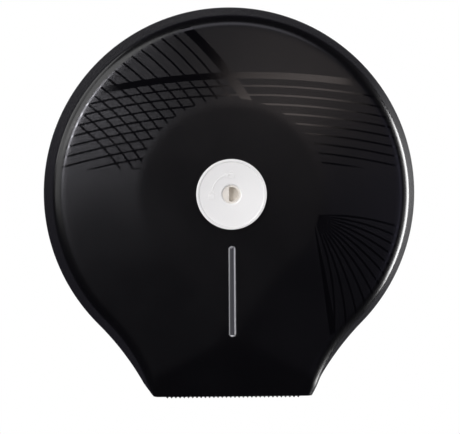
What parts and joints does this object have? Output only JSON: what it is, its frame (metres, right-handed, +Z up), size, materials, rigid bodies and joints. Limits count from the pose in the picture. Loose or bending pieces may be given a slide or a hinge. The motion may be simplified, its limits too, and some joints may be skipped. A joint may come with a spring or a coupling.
{
  "type": "jumbo toilet roll dispenser",
  "caption": "Wall-hung jumbo toilet roll dispenser: pin-shaped cover with key lock, roll window and toothed lip, hinged below, over a back plate with a fixed post and a free roll hub.",
  "frame": {"origin": "on the wall plane, on the common axis of the spindle post and the lock, at the centre of the four wall slots", "axes": "+Z up, +X to the right as seen from the front, +Y into the wall; the front of the cover faces -Y"},
  "size_m": [0.27, 0.1188, 0.2749],
  "materials": {
    "cover_plastic": "black ABS, satin with gloss line ornament",
    "plate_plastic": "black ABS, fine moulded texture",
    "post_plastic": "light grey ABS, satin",
    "hub_plastic": "light grey ABS, satin",
    "bezel_plastic": "white ABS, satin gloss",
    "plug_plastic": "beige acetal, satin",
    "nut_plastic": "white ABS, satin",
    "nylon": "natural nylon, satin",
    "lens_clear": "clear polycarbonate, polished",
    "blade_plastic": "black acetal, satin",
    "screw_steel": "zinc-plated steel",
    "pin_steel": "stainless steel",
    "clip_steel": "spring steel, phosphated",
    "catch_steel": "zinc-plated pressed steel"
  },
  "bodies": {
    "base": {"back_plate": "plate_plastic", "spindle_post": "post_plastic", "post_screws": "screw_steel", "thrust_washer": "nylon", "catch_plate": "catch_steel", "catch_screws": "screw_steel", "hinge_pin_left": "pin_steel", "hinge_pin_right": "pin_steel"},
    "hub": {"roll_hub": "hub_plastic"},
    "cover": {"front_cover": "cover_plastic", "window_lens": "lens_clear", "tear_blade": "blade_plastic", "blade_screws": "screw_steel", "lock_bezel": "bezel_plastic", "ring_nut": "nut_plastic", "spring_washer": "pin_steel", "circlip": "clip_steel"},
    "lock": {"lock_plug": "plug_plastic", "lock_cam": "catch_steel", "cam_screw": "screw_steel"}
  },
  "joints": [
    {"name": "cover_hinge", "type": "hinge", "parent": "base", "child": "cover", "pos_m": [0, -0.0105, -0.1305], "axis": [1, 0, 0], "range_deg": [0, 90]},
    {"name": "lock_turn", "type": "hinge", "parent": "cover", "child": "lock", "pos_m": [0, -0.11, 0], "axis": [0, 1, 0], "range_deg": [0, 90]},
    {"name": "roll_spin", "type": "hinge", "parent": "base", "child": "hub", "pos_m": [0, -0.055, 0], "axis": [0, 1, 0], "continuous": true}
  ]
}
